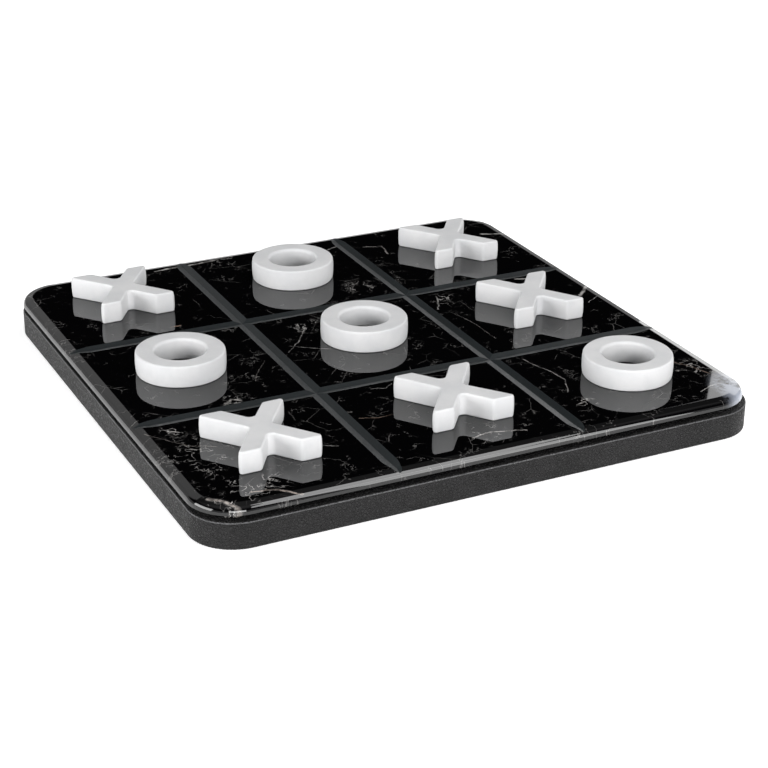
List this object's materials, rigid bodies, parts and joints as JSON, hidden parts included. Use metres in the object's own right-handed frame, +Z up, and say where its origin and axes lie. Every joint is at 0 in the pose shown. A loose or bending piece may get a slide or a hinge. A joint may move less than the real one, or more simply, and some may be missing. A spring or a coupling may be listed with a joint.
{
  "type": "tic tac toe set",
  "caption": "Square grooved stone board on a leather-wrapped base, with loose stone crosses and rings standing in its cells.",
  "frame": {"origin": "centre of the underside, on the surface that the board rests on", "axes": "+Z up; the grid's lines run along X and Y; +X is to the right of a player who sits at -Y and looks along +Y"},
  "size_m": [0.3, 0.3, 0.0328],
  "materials": {
    "core_board": "raw fibreboard",
    "black_leather": "fine-grained, satin",
    "black_felt": "matt felt",
    "painted_spacer": "painted black, matt",
    "adhesive": "soft, matt",
    "black_marble": "polished, with fine white veins",
    "white_stone": "honed, matt"
  },
  "bodies": {
    "board": {"core_board": "core_board", "leather_wrap": "black_leather", "felt_underlay": "black_felt", "spacer_panel": "painted_spacer", "slab_adhesive": "adhesive", "marble_slab": "black_marble"},
    "x_piece_1": {"x_piece_1": "white_stone"},
    "x_piece_2": {"x_piece_2": "white_stone"},
    "x_piece_3": {"x_piece_3": "white_stone"},
    "x_piece_4": {"x_piece_4": "white_stone"},
    "x_piece_5": {"x_piece_5": "white_stone"},
    "o_piece_1": {"o_piece_1": "white_stone"},
    "o_piece_2": {"o_piece_2": "white_stone"},
    "o_piece_3": {"o_piece_3": "white_stone"},
    "o_piece_4": {"o_piece_4": "white_stone"}
  },
  "joints": [
    {"name": "x_piece_1_lift", "type": "slide", "parent": "board", "child": "x_piece_1", "axis": [0, 0, 1], "range_m": [0, 0.06]},
    {"name": "x_piece_2_lift", "type": "slide", "parent": "board", "child": "x_piece_2", "axis": [0, 0, 1], "range_m": [0, 0.06]},
    {"name": "x_piece_3_lift", "type": "slide", "parent": "board", "child": "x_piece_3", "axis": [0, 0, 1], "range_m": [0, 0.06]},
    {"name": "x_piece_4_lift", "type": "slide", "parent": "board", "child": "x_piece_4", "axis": [0, 0, 1], "range_m": [0, 0.06]},
    {"name": "x_piece_5_lift", "type": "slide", "parent": "board", "child": "x_piece_5", "axis": [0, 0, 1], "range_m": [0, 0.06]},
    {"name": "o_piece_1_lift", "type": "slide", "parent": "board", "child": "o_piece_1", "axis": [0, 0, 1], "range_m": [0, 0.06]},
    {"name": "o_piece_2_lift", "type": "slide", "parent": "board", "child": "o_piece_2", "axis": [0, 0, 1], "range_m": [0, 0.06]},
    {"name": "o_piece_3_lift", "type": "slide", "parent": "board", "child": "o_piece_3", "axis": [0, 0, 1], "range_m": [0, 0.06]},
    {"name": "o_piece_4_lift", "type": "slide", "parent": "board", "child": "o_piece_4", "axis": [0, 0, 1], "range_m": [0, 0.06]}
  ]
}
